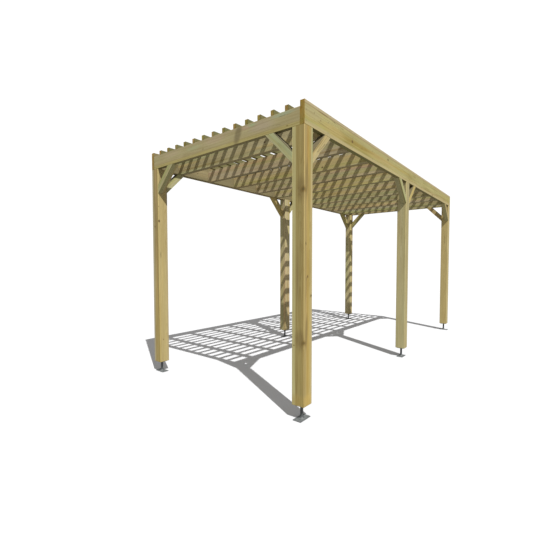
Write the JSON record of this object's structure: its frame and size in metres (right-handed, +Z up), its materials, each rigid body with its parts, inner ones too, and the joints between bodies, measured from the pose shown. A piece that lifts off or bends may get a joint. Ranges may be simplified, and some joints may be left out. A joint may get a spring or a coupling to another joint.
{
  "type": "wooden pergola",
  "caption": "Free-standing flat-topped garden pergola of square timber posts, braced beams, joists and close-set rafters, on bolt-down steel feet.",
  "frame": {"origin": "on the ground, under the centre of the roof", "axes": "+X along the long beams, +Y across them from the front side to the back side, +Z up"},
  "size_m": [5.01, 2.17, 2.56],
  "materials": {
    "treated_timber": "planed and pressure-treated, matt",
    "post_foot": "dark grey powder coat, satin"
  },
  "bodies": {
    "root": {"post_front_left": "treated_timber", "foot_front_left": "post_foot", "braces_front_left": "treated_timber", "post_front_middle": "treated_timber", "foot_front_middle": "post_foot", "braces_front_middle": "treated_timber", "post_front_right": "treated_timber", "foot_front_right": "post_foot", "braces_front_right": "treated_timber", "post_back_left": "treated_timber", "foot_back_left": "post_foot", "braces_back_left": "treated_timber", "post_back_middle": "treated_timber", "foot_back_middle": "post_foot", "braces_back_middle": "treated_timber", "post_back_right": "treated_timber", "foot_back_right": "post_foot", "braces_back_right": "treated_timber", "beam_front": "treated_timber", "beam_back": "treated_timber", "end_beam_left": "treated_timber", "end_beam_right": "treated_timber", "joist_1": "treated_timber", "joist_2": "treated_timber", "joist_3": "treated_timber", "joist_4": "treated_timber", "joist_5": "treated_timber", "joist_6": "treated_timber", "joist_7": "treated_timber", "joist_8": "treated_timber", "joist_9": "treated_timber", "joist_10": "treated_timber", "rafter_1": "treated_timber", "rafter_2": "treated_timber", "rafter_3": "treated_timber", "rafter_4": "treated_timber", "rafter_5": "treated_timber", "rafter_6": "treated_timber", "rafter_7": "treated_timber", "rafter_8": "treated_timber", "rafter_9": "treated_timber", "rafter_10": "treated_timber", "rafter_11": "treated_timber", "rafter_12": "treated_timber", "rafter_13": "treated_timber"}
  },
  "joints": []
}
